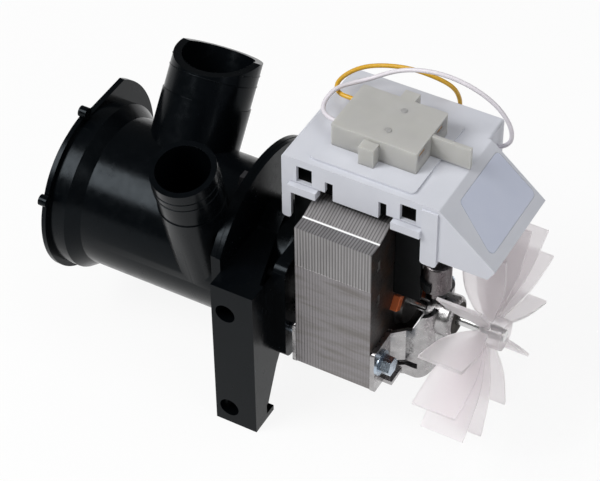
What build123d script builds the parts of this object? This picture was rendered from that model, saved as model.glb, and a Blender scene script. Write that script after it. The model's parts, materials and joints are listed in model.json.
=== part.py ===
"""Washer drain pump: filter housing, motor carrier, skeleton motor, cover and cooling fan.

+X runs along the shaft from the filter mouth to the fan, +Y runs from the leg's
front face into the machine and +Z is up. The origin is the middle of the leg's two
fixing holes, on the leg's front face. Lengths are in millimetres, angles in degrees.
"""

from build123d import *
from math import atan2, cos, hypot, radians, sin, tan
import os

os.makedirs("parts", exist_ok=True)

# Shared clearances and cutting
overrun = 1.0
running_gap = 0.04
body_gap = 0.3
slip_gap = 0.15

# Shaft line and stations along it
shaft_y = 47.0
shaft_z = 22.0
joint_x = -8.3
body_length = 84.7
motor_gap = 4.65
stack_length = 33.5

# Pump body
housing_radius = 32.4
housing_wall = 2.8
mouth_flange_step = 2.4
mouth_flange_thickness = 2.0
mouth_lug_offset = 2.0
mouth_lug_radius = 2.4
mouth_lug_length = 3.6
mouth_lug_angles = (154.0, 95.0, 334.0)
collar_step = 4.0
collar_length = 7.5
cone_length = 5.5
joint_flange_rim = 7.3
joint_flange_thickness = 2.2
joint_flat_depth = 8.0
divider_thickness = 2.5
eye_radius = 13.0
volute_wall = 5.4
volute_depth = 25.6
seal_groove_offset = 2.6
seal_cord_radius = 1.1
ear_reach = 6.2
ear_thickness = 2.5
ear_top_drop = 1.9
ear_bottom_drop = 6.0
ear_start = 0.5

# Inlet nozzle, slanted back, with a bevelled mouth
inlet_from_mouth = 41.2
inlet_radius = 18.6
inlet_wall = 3.4
inlet_tilt = 35.5
inlet_reach = 69.5
inlet_bore_start = 20.0
inlet_bevel_angle = 25.0
inlet_bevel_start = 1.5
inlet_stop_reach = 49.5

# Outlet nozzle, slanted forward, tangent to the volute
outlet_from_joint = 15.5
outlet_radius = 13.5
outlet_wall = 2.4
outlet_tilt = 14.7
outlet_reach = 65.0
outlet_offset = 18.4
outlet_root = 7.0
outlet_stop_reach = 45.0
nozzle_step = 0.4

# Filter set: cap with its plug and pivot, ring seal and basket
cap_rim_overlap = 1.6
cap_rim_thickness = 2.4
plug_length = 12.0
plug_wall = 4.6
plug_clearance = 0.5
cap_floor_thickness = 2.5
grip_thickness = 6.0
grip_inset = 1.5
cap_seal_radius = 1.6
cap_seal_inset = 4.5
pivot_radius = 3.0
pivot_length = 6.0
pivot_gap = 0.08
basket_side_gap = 3.6
basket_length = 40.0
basket_wall = 2.0
basket_ring_length = 4.0
basket_rib_width = 4.0
basket_rib_inset = 0.5
basket_rib_count = 8
basket_spoke_count = 4
basket_hub_radius = 6.5
basket_hub_length = 6.5
basket_gap = 0.5

# Joint screws, held in pegs of the carrier
joint_screw_offset = 7.2
joint_screw_angles = (100.0, 220.0, 340.0)
joint_screw_radius = 2.0
joint_head_radius = 4.1
joint_head_height = 2.8
joint_washer_radius = 5.0
joint_washer_thickness = 0.9
joint_screw_cover = 0.7
joint_peg_radius = 3.6

# Motor carrier
carrier_disc_inset = 0.2
carrier_disc_thickness = 2.0
carrier_drum_radius = 21.6
carrier_drum_wall = 2.6
carrier_collar_radius = 27.0
carrier_collar_length = 1.6
plate_thickness = 5.5
plate_corner_radius = 5.0
plate_bottom_z = -5.0
plate_top_z = 46.0
plate_hole_radius = 24.0
seal_boss_radius = 10.5
seal_boss_length = 9.0
coil_notch_gap = 0.8
leg_width = 19.0
leg_thickness = 8.8
leg_top_z = 41.3
leg_bottom_z = -36.3
leg_hole_spacing = 55.2
leg_hole_radius = 4.4
leg_web_thickness = 3.0
leg_web_depth = 22.0
leg_web_knee_depth = 17.7
leg_web_knee_z = -11.4
leg_web_low_depth = 10.3
leg_web_low_z = -28.0
leg_foot_depth = 14.4
leg_foot_height = 2.8
arm_depth = 37.4
arm_tip_width = 9.0
arm_thickness = 5.3
step_ramp_depth = 7.3
step_top_depth = 5.3
step_height = 5.3

# Impeller, shaft seal and shaft
impeller_tip_gap = 6.0
impeller_hub_radius = 6.0
impeller_length = 15.0
impeller_disc_thickness = 2.5
impeller_vane_thickness = 2.0
impeller_vane_count = 6
impeller_gap = 2.5
shaft_radius = 2.5
shaft_end_cover = 2.0
shaft_seal_radius = 8.0
shaft_seal_length = 6.0
shaft_seal_bore_gap = 0.1

# Stator laminations
stack_width = 62.0
stack_front_y = 16.0
stack_bottom_z = -2.35
stator_height = 54.3
yoke_height = 20.0
limb_width = 19.3
window_floor_z = 35.2
bore_radius = 11.0
ledge_depth = 6.5
yoke_ramp_depth = 9.5
yoke_crown = 3.05
stack_bolt_inset = 5.0
stack_bolt_height = 12.35
stack_bolt_radius = 2.0
stack_bolt_clearance = 0.2
dimple_radius = 1.3
dimple_length = 5.0
dimple_depth = 1.0
dimple_inset = 6.2
yoke_dimple_height = 63.4
stator_dimple_height = 45.0

# Shading rings
shading_angles = (145.0, 325.0)
shading_inner = 11.2
shading_outer = 15.4
shading_bar = 1.6
shading_width = 6.2
shading_overhang = 2.8

# Rotor
rotor_radius = 10.65
end_ring_length = 3.0
end_ring_radius = 9.6

# Coil
bobbin_wall = 1.2
bobbin_flange = 1.5
bobbin_clearance = 0.3
bobbin_left = 10.6
bobbin_right = 11.6
bobbin_bottom_gap = 0.6
bobbin_top_z = 89.0
bobbin_corner_radius = 2.0
winding_inset = 2.2
winding_gap = 0.1
tape_thickness = 0.8
coil_corner_radius = 5.0
coil_pin_width = 4.8
coil_pin_thickness = 0.8
coil_pin_length = 10.0
coil_pin_root = 1.2
coil_pin_pitch = 14.0

# Rear bearing bracket
sheet = 2.0
foot_bottom_z = -4.0
foot_top_z = 18.0
cup_foot_half_width = 17.0
cup_half_width = 13.8
cup_draft_length = 5.25
cup_radius = 31.0
cup_depth = 17.4
cup_top_z = 29.0
cup_shoulder_z = 20.0
cup_shoulder_length = 7.5
cup_ramp_length = 13.5
cup_round = 6.5
rear_boss_radius = 9.0
rear_boss_length = 6.0
rear_boss_round = 2.0
cup_slot_start = 2.5
cup_slot_length = 8.0
cup_slot_height = 3.0
cup_slot_z = -0.5
foot_lip_length = 4.2
foot_lip_depth = 7.5

# Front bearing bracket
front_sheet = 1.6
front_cup_radius = 21.6
front_cup_depth = 9.0
front_cup_top_z = 34.5
front_boss_radius = 9.0
front_boss_length = 7.0

# Bushes, felt, washers and circlip
bush_radius = 6.0
bush_length = 9.0
felt_radius = 7.0
felt_length = 2.0
washer_radius = 5.0
washer_thickness = 0.8
circlip_radius = 4.6
circlip_thickness = 0.7
circlip_groove = 0.35
circlip_opening = 3.0

# Stack bolts
bolt_head_radius = 4.1
bolt_head_height = 4.6
bolt_flange_radius = 5.4
bolt_flange_thickness = 1.2

# Fan: flat vanes, each with a curved near and far edge
fan_radius = 45.3
fan_vane_count = 12
fan_vane_thickness = 1.3
fan_first_angle = 6.55
fan_start_gap = 2.35
fan_tip_length = 18.4
fan_hub_radius = 6.4
fan_hub_setback = 8.9
fan_hub_length = 9.4
fan_edge_radii = (33.4, 21.9, 12.3)
fan_near_depths = (0.0, 0.9, 4.1)
fan_far_depths = (0.3, 1.5, 4.0)
fan_root_radius = 4.6
fan_root_length = 4.0

# Terminal cover
cover_overhang_left = 13.45
cover_length = 66.4
cover_front_y = 30.5
cover_depth = 58.8
cover_top_z = 92.4
cover_wall = 1.8
cover_edge_round = 1.2
cover_rib_inset = 10.0
front_wall_height = 11.8
side_wall_height = 20.0
right_leg_width = 6.8
right_leg_height = 29.4
left_leg_width = 4.0
left_leg_height = 31.6
leg_end_round = 1.5
back_wall_height = 30.0
tongue_from_left = 22.4
tongue_width = 19.6
tongue_drop = 3.0
slot_width = 3.4
slot_height = 5.4
window_width = 6.8
window_height = 8.0
window_drop = 3.4
window_offsets = (6.5, 51.1)
latch_width = 12.3
latch_height = 3.5
latch_depth = 2.4
latch_drop = 12.2
latch_offsets = (3.7, 48.3)
pad_from_left = 10.5
pad_from_front = 2.9
pad_length = 44.8
pad_depth = 44.0
pad_height = 1.0
pad_corner_radius = 2.0

# Hood over the fan, with a sloping plate
hood_depth = 45.5
hood_crease_reach = 0.9
hood_reach = 25.0
hood_drop = 21.0
hood_lip_inset = 3.0
hood_lip_height = 2.0
skirt_height = 26.0
skirt_step = 0.8

# Rating label on the slope
label_thickness = 0.3
label_top_gap = 4.3
label_bottom_gap = 4.8
label_back_gap = 1.7
label_front_top_gap = 11.2
label_front_bottom_gap = 4.3
label_corner_radius = 2.4

# Thermal protector in its cradle on the bobbin
protector_radius = 5.6
protector_height = 14.0
protector_reach = 5.8
protector_y = 38.5
protector_bottom_z = 44.0
protector_lead_radius = 1.2
protector_edge_round = 1.2
protector_lead_length = 3.0
cradle_wall = 1.2
cradle_height = 4.0
cradle_rise = 2.0

# Plug housing and its receptacles
plug_from_left = 14.5
plug_front_y = 43.4
plug_base_length = 36.6
plug_depth = 27.0
plug_height = 10.1
plug_edge_round = 0.6
front_lug_offset = 14.4
back_lug_offset = 15.9
lug_length = 6.4
lug_depth = 4.8
front_lug_height = 8.6
plug_tab_length = 16.6
plug_tab_thickness = 1.8
plug_tab_offset = 12.2
plug_tab_height = 9.6
plug_slot_width = 8.0
plug_slot_height = 4.0
plug_slot_floor = 4.8
plug_back_wall = 3.0
terminal_offsets = (5.8, 20.6)
receptacle_width = 7.4
receptacle_height = 3.2
receptacle_sheet = 0.9
receptacle_length = 18.0
receptacle_inset = 0.2
crimp_radius = 1.7
wire_end_inset = 3.7

# Wires
wire_diameter = 1.8
yellow_route = [
    (27.6, 64.0, 100.2), (21.6, 64.0, 100.2), (15.6, 64.8, 99.7), (12.0, 69.8, 99.5), (13.2, 76.2, 100.3),
    (17.6, 81.2, 101.8), (24.6, 84.3, 103.2), (34.8, 86.4, 104.4), (45.2, 87.6, 103.4), (52.6, 90.8, 98.8),
    (54.4, 94.0, 91.2), (54.4, 94.6, 84.5), (54.4, 91.8, 79.2), (54.4, 88.2, 76.4),
]
white_route = [
    (27.6, 49.2, 100.2), (21.4, 49.2, 100.2), (15.8, 51.8, 100.1), (13.6, 57.2, 100.7), (14.8, 64.2, 102.5),
    (18.8, 70.4, 102.0), (25.0, 74.6, 103.6), (33.0, 77.0, 108.6), (41.6, 78.6, 111.8), (53.0, 80.0, 113.0),
    (65.2, 81.4, 110.2), (75.0, 82.8, 104.0), (80.7, 83.8, 95.8), (81.8, 84.4, 88.2), (78.8, 84.4, 83.2),
    (74.4, 84.4, 81.2),
]

# Stations worked out from the sizes above
mouth_x = joint_x - body_length
leg_left_x = joint_x + carrier_disc_thickness
leg_right_x = leg_left_x + leg_width
plate_right_x = leg_right_x + plate_thickness
stack_left_x = plate_right_x + motor_gap
stack_right_x = stack_left_x + stack_length
stack_back_y = stack_front_y + stack_width
stack_mid_x = stack_left_x + stack_length / 2
stator_top_z = stack_bottom_z + stator_height
yoke_top_z = stator_top_z + yoke_height
crown_z = yoke_top_z + yoke_crown
window_front_y = stack_front_y + limb_width
window_back_y = stack_back_y - limb_width
filter_bore_radius = housing_radius - housing_wall
plug_radius = filter_bore_radius - plug_clearance
basket_radius = filter_bore_radius - basket_side_gap
collar_radius = housing_radius + collar_step
mouth_flange_radius = collar_radius + mouth_flange_step
mouth_lug_circle = mouth_flange_radius + mouth_lug_offset
ear_radius = mouth_flange_radius + ear_reach
ear_top_z = shaft_z + mouth_flange_radius - ear_top_drop
cap_rim_radius = housing_radius + cap_rim_overlap
volute_radius = housing_radius - volute_wall
seal_groove_radius = volute_radius + seal_groove_offset
impeller_radius = volute_radius - impeller_tip_gap
joint_screw_circle = housing_radius + joint_screw_offset
joint_flange_radius = joint_screw_circle + joint_flange_rim
carrier_disc_radius = joint_flange_radius - carrier_disc_inset
volute_left_x = joint_x - volute_depth
cup_face_x = stack_right_x + cup_depth
boss_end_x = cup_face_x + rear_boss_length
front_cup_x = stack_left_x - front_cup_depth
front_boss_x = front_cup_x - front_boss_length
fan_left_x = boss_end_x + fan_start_gap
fan_right_x = fan_left_x + fan_tip_length
fan_hub_x = fan_left_x + fan_hub_setback
cover_left_x = stack_left_x - cover_overhang_left
cover_right_x = cover_left_x + cover_length
cover_back_y = cover_front_y + cover_depth


# Shapes placed along the main directions

def rod_x(radius, start, end, y=shaft_y, z=shaft_z):
    place = Plane(origin=(start, y, z), x_dir=(0, 1, 0), z_dir=(1, 0, 0))
    return place * Cylinder(radius, end - start, align=(Align.CENTER, Align.CENTER, Align.MIN))


def rod_y(radius, start, end, x, z):
    place = Plane(origin=(x, start, z), x_dir=(1, 0, 0), z_dir=(0, 1, 0))
    return place * Cylinder(radius, end - start, align=(Align.CENTER, Align.CENTER, Align.MIN))


def rod_z(radius, start, end, x, y):
    return Pos(x, y, start) * Cylinder(radius, end - start, align=(Align.CENTER, Align.CENTER, Align.MIN))


def tube_x(outer, inner, start, end, y=shaft_y, z=shaft_z):
    return rod_x(outer, start, end, y, z) - rod_x(inner, start - overrun, end + overrun, y, z)


def block(x0, x1, y0, y1, z0, z1):
    return Pos(x0, y0, z0) * Box(x1 - x0, y1 - y0, z1 - z0, align=(Align.MIN, Align.MIN, Align.MIN))


def prism_x(points, start, end):
    """Outline of (y, z) points carried along X."""
    corners = [(start, y, z) for y, z in points]
    return extrude(make_face(Polyline(*corners, close=True)), end - start, dir=(1, 0, 0))


def prism_y(points, start, end):
    """Outline of (x, z) points carried along Y."""
    corners = [(x, start, z) for x, z in points]
    return extrude(make_face(Polyline(*corners, close=True)), end - start, dir=(0, 1, 0))


def prism_z(points, start, end):
    """Outline of (x, y) points carried along Z."""
    corners = [(x, y, start) for x, y in points]
    return extrude(make_face(Polyline(*corners, close=True)), end - start, dir=(0, 0, 1))


def turned_x(points):
    """Outline of (x, radius) points turned about the shaft line."""
    corners = [(x, radius, 0) for x, radius in points]
    solid = revolve(make_face(Polyline(*corners, close=True)), Axis.X, 360)
    return Pos(0, shaft_y, shaft_z) * solid


def ring_x(ring_radius, cord_radius, x):
    """Round cord ring about the shaft line."""
    place = Plane(origin=(x, shaft_y, shaft_z), x_dir=(0, 1, 0), z_dir=(1, 0, 0))
    return place * Torus(ring_radius, cord_radius)


def round_bar_x(y0, y1, z0, z1, start, end, corner):
    """Rectangular bar along X with rounded long edges."""
    place = Plane(origin=(start, (y0 + y1) / 2, (z0 + z1) / 2), x_dir=(0, 1, 0), z_dir=(1, 0, 0))
    return extrude(place * RectangleRounded(y1 - y0, z1 - z0, corner), end - start)


def round_bar_y(x0, x1, z0, z1, start, end, corner):
    """Rectangular bar along Y with rounded long edges."""
    place = Plane(origin=((x0 + x1) / 2, start, (z0 + z1) / 2), x_dir=(-1, 0, 0), z_dir=(0, 1, 0))
    return extrude(place * RectangleRounded(x1 - x0, z1 - z0, corner), end - start)


def hex_rod_x(corner_radius, start, end, y, z):
    place = Plane(origin=(start, y, z), x_dir=(0, 1, 0), z_dir=(1, 0, 0))
    return extrude(place * RegularPolygon(corner_radius, 6), end - start)


def turn_about_shaft(shape, angle):
    return shape.rotate(Axis((0, shaft_y, shaft_z), (1, 0, 0)), angle)


def around_shaft(radius, angle):
    """(y, z) of a point on a circle about the shaft; 90 degrees is straight up."""
    return shaft_y + radius * cos(radians(angle)), shaft_z + radius * sin(radians(angle))


def group(pieces):
    """Separate solids kept together as one node."""
    return Compound([solid for piece in pieces for solid in piece.solids()])


# Pump body

def nozzle_plane(x, y, z, tilt):
    """Plane across a nozzle; tilt leans it back from the vertical."""
    return Plane(origin=(x, y, z), x_dir=(1, 0, 0), z_dir=(0, sin(radians(tilt)), cos(radians(tilt))))


inlet_x = mouth_x + inlet_from_mouth
outlet_x = joint_x - outlet_from_joint
inlet_plane = nozzle_plane(inlet_x, shaft_y, shaft_z, inlet_tilt)
outlet_plane = nozzle_plane(outlet_x, shaft_y - outlet_offset, shaft_z, -outlet_tilt)


def along_nozzle(plane, radius, start, end):
    bar = Cylinder(radius, end - start, align=(Align.CENTER, Align.CENTER, Align.MIN))
    return plane * Pos(0, 0, start) * bar


def inlet_bevel():
    """Wedge that slants the near half of the inlet's mouth."""
    half = inlet_radius + overrun
    drop = (half + inlet_bevel_start) * tan(radians(inlet_bevel_angle))
    corners = [
        (-half, inlet_bevel_start, 0), (-half, -half, -drop),
        (-half, -half, overrun), (-half, inlet_bevel_start, overrun),
    ]
    wedge = extrude(make_face(Polyline(*corners, close=True)), 2 * half, dir=(1, 0, 0))
    return inlet_plane * Pos(0, 0, inlet_reach) * wedge


def ear_plate():
    """Fin in the plane of the mouth flange: level top edge and a round far edge."""
    return rod_x(ear_radius, mouth_x, mouth_x + ear_thickness) & block(
        mouth_x, mouth_x + ear_thickness, shaft_y + ear_start, shaft_y + ear_radius,
        shaft_z - ear_bottom_drop, ear_top_z)


def above_ear():
    """Space over the ear's level edge, where the mouth flange is cut flat too."""
    return block(mouth_x - overrun, mouth_x + mouth_flange_thickness, shaft_y + ear_start,
                 shaft_y + ear_radius, ear_top_z, shaft_z + ear_radius)


def flat_disc(radius, start, end):
    """Disc about the shaft line with a flat behind the leg."""
    return rod_x(radius, start, end) & block(
        start, end, joint_flat_depth, shaft_y + radius, shaft_z - radius, shaft_z + radius)


def mouth_lugs():
    """Small round lugs on the mouth flange's rim."""
    lugs = []
    for angle in mouth_lug_angles:
        y, z = around_shaft(mouth_lug_circle, angle)
        lugs.append(rod_x(mouth_lug_radius, mouth_x, mouth_x + mouth_lug_length, y, z))
    return lugs


def joint_screw_places():
    return [around_shaft(joint_screw_circle, angle) for angle in joint_screw_angles]


def pump_shell():
    """Solid outside shape of the pump body."""
    cone_x = mouth_x + mouth_flange_thickness + collar_length
    shell = turned_x([
        (mouth_x, 0), (mouth_x, collar_radius), (cone_x, collar_radius),
        (cone_x + cone_length, housing_radius), (joint_x, housing_radius), (joint_x, 0),
    ])
    shell += rod_x(mouth_flange_radius, mouth_x, mouth_x + mouth_flange_thickness)
    shell -= above_ear()
    shell += flat_disc(joint_flange_radius, joint_x - joint_flange_thickness, joint_x)
    for lug in mouth_lugs():
        shell += lug
    shell += ear_plate()
    shell += along_nozzle(inlet_plane, inlet_radius, inlet_bore_start, inlet_reach)
    shell += along_nozzle(inlet_plane, inlet_radius + nozzle_step, inlet_bore_start, inlet_stop_reach)
    shell += along_nozzle(outlet_plane, outlet_radius, -outlet_root, outlet_reach)
    shell += along_nozzle(outlet_plane, outlet_radius + nozzle_step, -outlet_root, outlet_stop_reach)
    return shell - inlet_bevel()


def pump_body():
    body = pump_shell()
    divider_left_x = volute_left_x - divider_thickness
    body -= along_nozzle(inlet_plane, inlet_radius - inlet_wall, inlet_bore_start, inlet_reach + overrun)
    body -= along_nozzle(outlet_plane, outlet_radius - outlet_wall, 0, outlet_reach + overrun)
    body -= rod_x(filter_bore_radius, mouth_x - overrun, divider_left_x)
    body -= rod_x(eye_radius, divider_left_x - overrun, volute_left_x + overrun)
    body -= rod_x(volute_radius, volute_left_x, joint_x + overrun)
    body -= tube_x(seal_groove_radius + seal_cord_radius, seal_groove_radius - seal_cord_radius,
                   joint_x - 2 * seal_cord_radius, joint_x + overrun)
    for y, z in joint_screw_places():
        body -= rod_x(joint_peg_radius + slip_gap, joint_x - joint_flange_thickness - overrun,
                      joint_x + overrun, y, z)
    return body


def volute_seal():
    return ring_x(seal_groove_radius, seal_cord_radius, joint_x - seal_cord_radius)


# Filter set

plug_end_x = mouth_x + plug_length
basket_x = plug_end_x + basket_gap
seal_ring_radius = filter_bore_radius - body_gap - cap_seal_radius


def filter_cap():
    """Cup with a rim outside the mouth, a sunk grip bar and a pivot for the basket."""
    rim_x = mouth_x - body_gap
    cap = rod_x(cap_rim_radius, rim_x - cap_rim_thickness, rim_x)
    cap += rod_x(plug_radius, rim_x, plug_end_x)
    cap -= rod_x(plug_radius - plug_wall, rim_x - cap_rim_thickness - overrun,
                 plug_end_x - cap_floor_thickness)
    grip_half = plug_radius - plug_wall / 2
    cap += block(rim_x - cap_rim_thickness + grip_inset, plug_end_x, shaft_y - grip_thickness / 2,
                 shaft_y + grip_thickness / 2, shaft_z - grip_half, shaft_z + grip_half)
    cap += rod_x(pivot_radius, plug_end_x, plug_end_x + pivot_length)
    return cap - ring_x(seal_ring_radius, cap_seal_radius, mouth_x + cap_seal_inset)


def cap_seal():
    return ring_x(seal_ring_radius, cap_seal_radius, mouth_x + cap_seal_inset)


def filter_basket():
    """Cage of ribs between two rings, on spokes round the cap's pivot."""
    end = basket_x + basket_length
    cage = tube_x(basket_radius, basket_radius - basket_wall, basket_x, basket_x + basket_ring_length)
    cage += tube_x(basket_radius, basket_radius - basket_wall, end - basket_ring_length, end)
    for index in range(basket_rib_count):
        rib = block(basket_x + basket_rib_inset, end - basket_rib_inset,
                    shaft_y + basket_radius - basket_wall + basket_rib_inset,
                    shaft_y + basket_radius - basket_rib_inset,
                    shaft_z - basket_rib_width / 2, shaft_z + basket_rib_width / 2)
        cage += turn_about_shaft(rib, index * 360 / basket_rib_count)
    cage += rod_x(basket_hub_radius, basket_x, basket_x + basket_hub_length)
    for index in range(basket_spoke_count):
        spoke = block(basket_x, basket_x + basket_ring_length, shaft_y,
                      shaft_y + basket_radius - basket_wall / 2, shaft_z - basket_wall / 2,
                      shaft_z + basket_wall / 2)
        cage += turn_about_shaft(spoke, index * 360 / basket_spoke_count)
    return cage - rod_x(pivot_radius + pivot_gap, basket_x - overrun, basket_x + basket_hub_length + overrun)


# Joint screws

joint_screw_tip_x = leg_left_x - joint_screw_cover


def joint_screws():
    """Hex washer-head screws, entered from the pump side."""
    face = joint_x - joint_flange_thickness
    screws = []
    for y, z in joint_screw_places():
        screw = rod_x(joint_screw_radius, face - joint_washer_thickness, joint_screw_tip_x, y, z)
        screw += rod_x(joint_washer_radius, face - joint_washer_thickness, face, y, z)
        screw += hex_rod_x(joint_head_radius, face - joint_washer_thickness - joint_head_height,
                           face - joint_washer_thickness, y, z)
        screws.append(screw)
    return group(screws)


# Motor carrier

def carrier_leg():
    """Front plate with two holes, its side web, the arm on top and the foot."""
    root_y = leg_thickness - overrun
    arm_bottom_z = leg_top_z - arm_thickness
    leg = block(leg_left_x, leg_right_x, 0, leg_thickness, leg_bottom_z, leg_top_z)
    web = [
        (root_y, arm_bottom_z), (leg_web_depth, arm_bottom_z), (leg_web_depth, plate_bottom_z),
        (leg_web_knee_depth, leg_web_knee_z), (leg_web_low_depth, leg_web_low_z), (root_y, leg_web_low_z),
    ]
    leg += prism_x(web, leg_right_x - leg_web_thickness, leg_right_x)
    leg += prism_x(web, leg_left_x, leg_left_x + leg_web_thickness)
    leg += block(leg_right_x - leg_web_thickness, leg_right_x, root_y, leg_foot_depth,
                 leg_bottom_z, leg_bottom_z + leg_foot_height)
    tip_x = leg_left_x + arm_tip_width
    arm = [
        (leg_left_x, 0), (leg_right_x, 0), (leg_right_x, leg_web_thickness), (tip_x, arm_depth),
        (leg_left_x, arm_depth),
    ]
    leg += prism_z(arm, arm_bottom_z, leg_top_z)
    step_y = arm_depth + step_ramp_depth
    step = [
        (arm_depth - overrun, arm_bottom_z), (arm_depth - overrun, leg_top_z), (arm_depth, leg_top_z),
        (step_y, leg_top_z + step_height), (step_y + step_top_depth, leg_top_z + step_height),
        (step_y + step_top_depth, arm_bottom_z),
    ]
    leg += prism_x(step, leg_left_x, tip_x)
    return leg


def stack_bolt_places():
    z = stack_bottom_z + stack_bolt_height
    return [(stack_front_y + stack_bolt_inset, z), (stack_back_y - stack_bolt_inset, z)]


def carrier_solid():
    """Carrier before its bores are cut."""
    carrier = round_bar_x(stack_front_y, stack_back_y, plate_bottom_z, plate_top_z,
                          leg_right_x, plate_right_x, plate_corner_radius)
    carrier -= rod_x(plate_hole_radius, leg_right_x - overrun, plate_right_x + overrun)
    carrier += rod_x(carrier_collar_radius, leg_right_x - carrier_collar_length, leg_right_x)
    carrier += flat_disc(carrier_disc_radius, joint_x, leg_left_x)
    carrier += rod_x(carrier_drum_radius, joint_x, leg_right_x)
    carrier += carrier_leg()
    for y, z in joint_screw_places():
        carrier += rod_x(joint_peg_radius, joint_x - joint_flange_thickness, leg_left_x, y, z)
    carrier -= rod_x(carrier_drum_radius - carrier_drum_wall, leg_left_x, leg_right_x + overrun)
    carrier += rod_x(seal_boss_radius, joint_x, joint_x + seal_boss_length)
    return carrier


def motor_carrier():
    carrier = carrier_solid()
    carrier -= rod_x(shaft_seal_radius, joint_x - overrun, joint_x + shaft_seal_length)
    carrier -= rod_x(shaft_radius + body_gap, joint_x, leg_right_x)
    for y, z in joint_screw_places():
        carrier -= rod_x(joint_screw_radius, joint_x - joint_flange_thickness - overrun,
                         joint_screw_tip_x, y, z)
    for y, z in stack_bolt_places():
        carrier -= rod_x(stack_bolt_radius, leg_right_x - overrun, plate_right_x + overrun, y, z)
    for side in (-1, 1):
        carrier -= rod_y(leg_hole_radius, -overrun, leg_thickness + overrun, 0, side * leg_hole_spacing / 2)
    carrier -= block(bobbin_x0 - coil_notch_gap, plate_right_x + overrun, bobbin_front_y - coil_notch_gap,
                     bobbin_back_y + coil_notch_gap, bobbin_bottom_z - coil_notch_gap,
                     shaft_z + carrier_disc_radius)
    return carrier


# Impeller, seal and shaft

impeller_right_x = joint_x - impeller_gap
impeller_left_x = impeller_right_x - impeller_length
shaft_left_x = impeller_left_x + shaft_end_cover
shaft_right_x = fan_hub_x + fan_hub_length
circlip_x = boss_end_x - felt_length - bush_length - body_gap - washer_thickness - circlip_thickness


def shaft_seal():
    return tube_x(shaft_seal_radius, shaft_radius + shaft_seal_bore_gap, joint_x, joint_x + shaft_seal_length)


def impeller():
    wheel = rod_x(impeller_radius, impeller_right_x - impeller_disc_thickness, impeller_right_x)
    wheel += rod_x(impeller_hub_radius, impeller_left_x, impeller_right_x)
    for index in range(impeller_vane_count):
        vane = block(impeller_left_x + shaft_end_cover, impeller_right_x, shaft_y,
                     shaft_y + impeller_radius - slip_gap, shaft_z - impeller_vane_thickness / 2,
                     shaft_z + impeller_vane_thickness / 2)
        wheel += turn_about_shaft(vane, index * 360 / impeller_vane_count)
    return wheel - rod_x(shaft_radius, shaft_left_x, impeller_right_x + overrun)


def shaft():
    groove = tube_x(shaft_radius + overrun, shaft_radius - circlip_groove, circlip_x,
                    circlip_x + circlip_thickness)
    return rod_x(shaft_radius, shaft_left_x, shaft_right_x) - groove


def shaft_circlip():
    """Open ring seated in the shaft's groove."""
    ring = tube_x(circlip_radius, shaft_radius - circlip_groove, circlip_x, circlip_x + circlip_thickness)
    half = circlip_opening / 2
    return ring - block(circlip_x - overrun, circlip_x + circlip_thickness + overrun, shaft_y - half,
                        shaft_y + half, shaft_z, shaft_z + circlip_radius + overrun)


def shaft_washers():
    """Thrust washers: one on the rotor's front end ring, one against the circlip."""
    front = stack_left_x - end_ring_length
    rear = circlip_x + circlip_thickness
    return group([
        tube_x(washer_radius, shaft_radius, front - washer_thickness, front),
        tube_x(washer_radius, shaft_radius, rear, rear + washer_thickness),
    ])


# Stator

def shading_loops():
    """Rectangular loops through the stack beside the bore."""
    loops = []
    half = shading_width / 2
    inner_y = shaft_y + shading_inner
    outer_y = shaft_y + shading_outer
    for angle in shading_angles:
        loop = block(stack_left_x - shading_overhang, stack_right_x + shading_overhang,
                     inner_y, outer_y, shaft_z - half, shaft_z + half)
        loop -= block(stack_left_x, stack_right_x, inner_y + shading_bar, outer_y - shading_bar,
                      shaft_z - half - overrun, shaft_z + half + overrun)
        loops.append(turn_about_shaft(loop, angle))
    return loops


def shading_rings():
    return group(shading_loops())


def cut_dimple(core, height):
    """Slot-shaped dimples pressed in both ends of a lamination pack."""
    for x in (stack_left_x, stack_right_x):
        place = Pos(x, stack_front_y + dimple_inset, stack_bottom_z + height)
        core -= place * Box(2 * dimple_depth, 2 * dimple_radius, dimple_length)
    return core


def stator_core():
    left = stack_left_x - overrun
    right = stack_right_x + overrun
    core = block(stack_left_x, stack_right_x, stack_front_y, stack_back_y, stack_bottom_z, stator_top_z)
    core -= block(left, right, window_front_y, window_back_y, window_floor_z, stator_top_z + overrun)
    core -= rod_x(bore_radius, left, right)
    half = shading_width / 2
    for angle in shading_angles:
        notch = block(left, right, shaft_y + bore_radius / 2, shaft_y + shading_inner,
                      shaft_z - half, shaft_z + half)
        core -= turn_about_shaft(notch, angle)
    for loop in shading_loops():
        core -= loop
    for y, z in stack_bolt_places():
        core -= rod_x(stack_bolt_radius + stack_bolt_clearance, left, right, y, z)
    return cut_dimple(core, stator_dimple_height)


def yoke_core():
    ramp_front = stack_front_y + ledge_depth
    ramp_back = stack_back_y - ledge_depth
    core = prism_x([
        (stack_front_y, stator_top_z), (stack_back_y, stator_top_z), (stack_back_y, yoke_top_z),
        (ramp_back, yoke_top_z), (ramp_back - yoke_ramp_depth, crown_z),
        (ramp_front + yoke_ramp_depth, crown_z), (ramp_front, yoke_top_z), (stack_front_y, yoke_top_z),
    ], stack_left_x, stack_right_x)
    return cut_dimple(core, yoke_dimple_height)


def rotor_core():
    left = stack_left_x - end_ring_length
    right = stack_right_x + end_ring_length
    core = rod_x(rotor_radius, stack_left_x, stack_right_x) + rod_x(end_ring_radius, left, right)
    return core - rod_x(shaft_radius, left - overrun, right + overrun)


# Coil

bobbin_bottom_z = window_floor_z + bobbin_bottom_gap
bobbin_x0 = stack_left_x - bobbin_left
bobbin_x1 = stack_right_x + bobbin_right
bobbin_front_y = window_front_y + slip_gap
bobbin_back_y = window_back_y - slip_gap
former_reach = bobbin_clearance + bobbin_wall
former_z0 = stator_top_z - former_reach
former_z1 = crown_z + former_reach


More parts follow.
